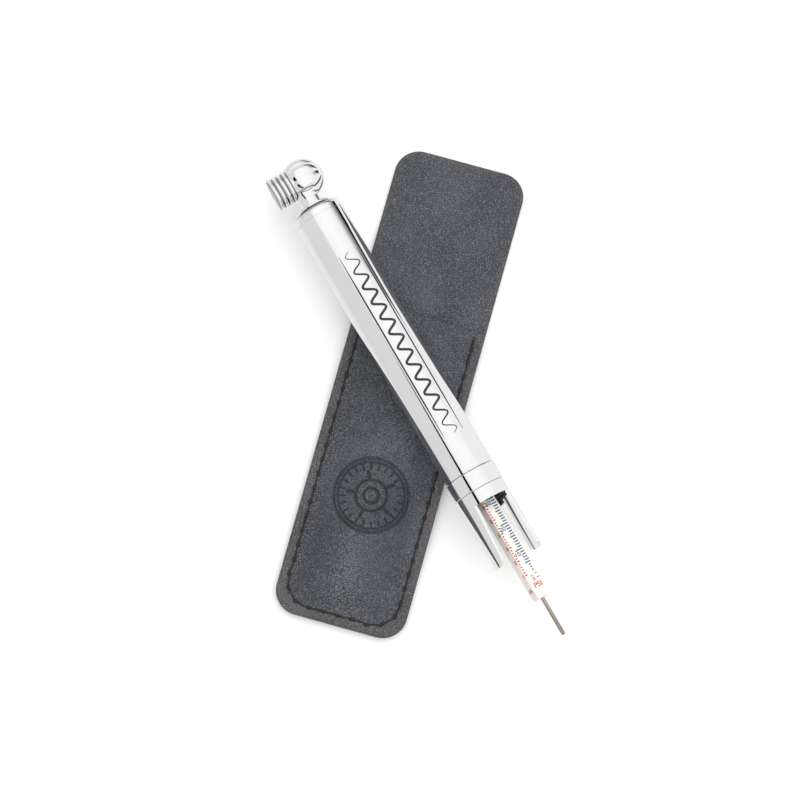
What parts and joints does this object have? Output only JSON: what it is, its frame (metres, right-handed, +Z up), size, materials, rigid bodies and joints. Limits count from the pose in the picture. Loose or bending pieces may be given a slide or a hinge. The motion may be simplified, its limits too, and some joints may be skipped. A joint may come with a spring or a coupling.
{
  "type": "tire pressure gauge",
  "caption": "Chrome pencil tire pressure gauge with a sliding indicator bar, forked reading end and ribbed side chuck, lying across its stitched leather slip case.",
  "frame": {"origin": "centre of the base of the overall box, on the surface that the case lies on", "axes": "+X along the gauge from its ball head to its bleeder pin, +Z up, the chuck opens towards -Y"},
  "size_m": [0.1635, 0.1266, 0.0217],
  "materials": {
    "chrome": "polished plating",
    "steel": "drawn wire",
    "brass": "turned",
    "rubber": "moulded, matte",
    "bush_plastic": "moulded",
    "pad": "pressed felt",
    "bar_plastic": "satin, printed scales",
    "case_leather": "fine pebble grain",
    "thread": "waxed thread"
  },
  "bodies": {
    "case": {"case_back_panel": "case_leather", "case_front_panel": "case_leather", "case_stitching": "thread"},
    "gauge": {"head_casting": "chrome", "chuck_ferrule": "chrome", "chuck_washer": "rubber", "dust_screen": "brass", "core_depressor": "brass", "neck_gasket": "rubber", "barrel_cap": "chrome", "cap_seal": "rubber", "barrel_tube": "chrome", "end_band": "chrome", "fork_sleeve": "chrome", "guide_bush": "bush_plastic", "friction_pad": "pad", "retaining_ring": "steel", "inner_cylinder": "brass", "cylinder_spacer": "bush_plastic", "main_spring": "steel"},
    "indicator": {"indicator_bar": "bar_plastic", "bar_foot": "brass", "bleeder_pin": "steel"},
    "piston": {"piston_body": "brass", "piston_cup": "rubber", "cup_washer": "brass", "piston_screw": "brass"}
  },
  "joints": [
    {"name": "gauge_lift", "type": "slide", "parent": "case", "child": "gauge", "axis": [0, 0, 1], "range_m": [0, 0.03]},
    {"name": "indicator_slide", "type": "slide", "parent": "gauge", "child": "indicator", "axis": [1, 0, 0], "range_m": [-0.026, 0.0165]},
    {"name": "piston_slide", "type": "slide", "parent": "gauge", "child": "piston", "axis": [1, 0, 0], "range_m": [-0.026, 0.0165], "deforming": ["main_spring"]}
  ],
  "couplings": [
    {"joint": "piston_slide", "follows": "indicator_slide", "ratio": 1}
  ]
}
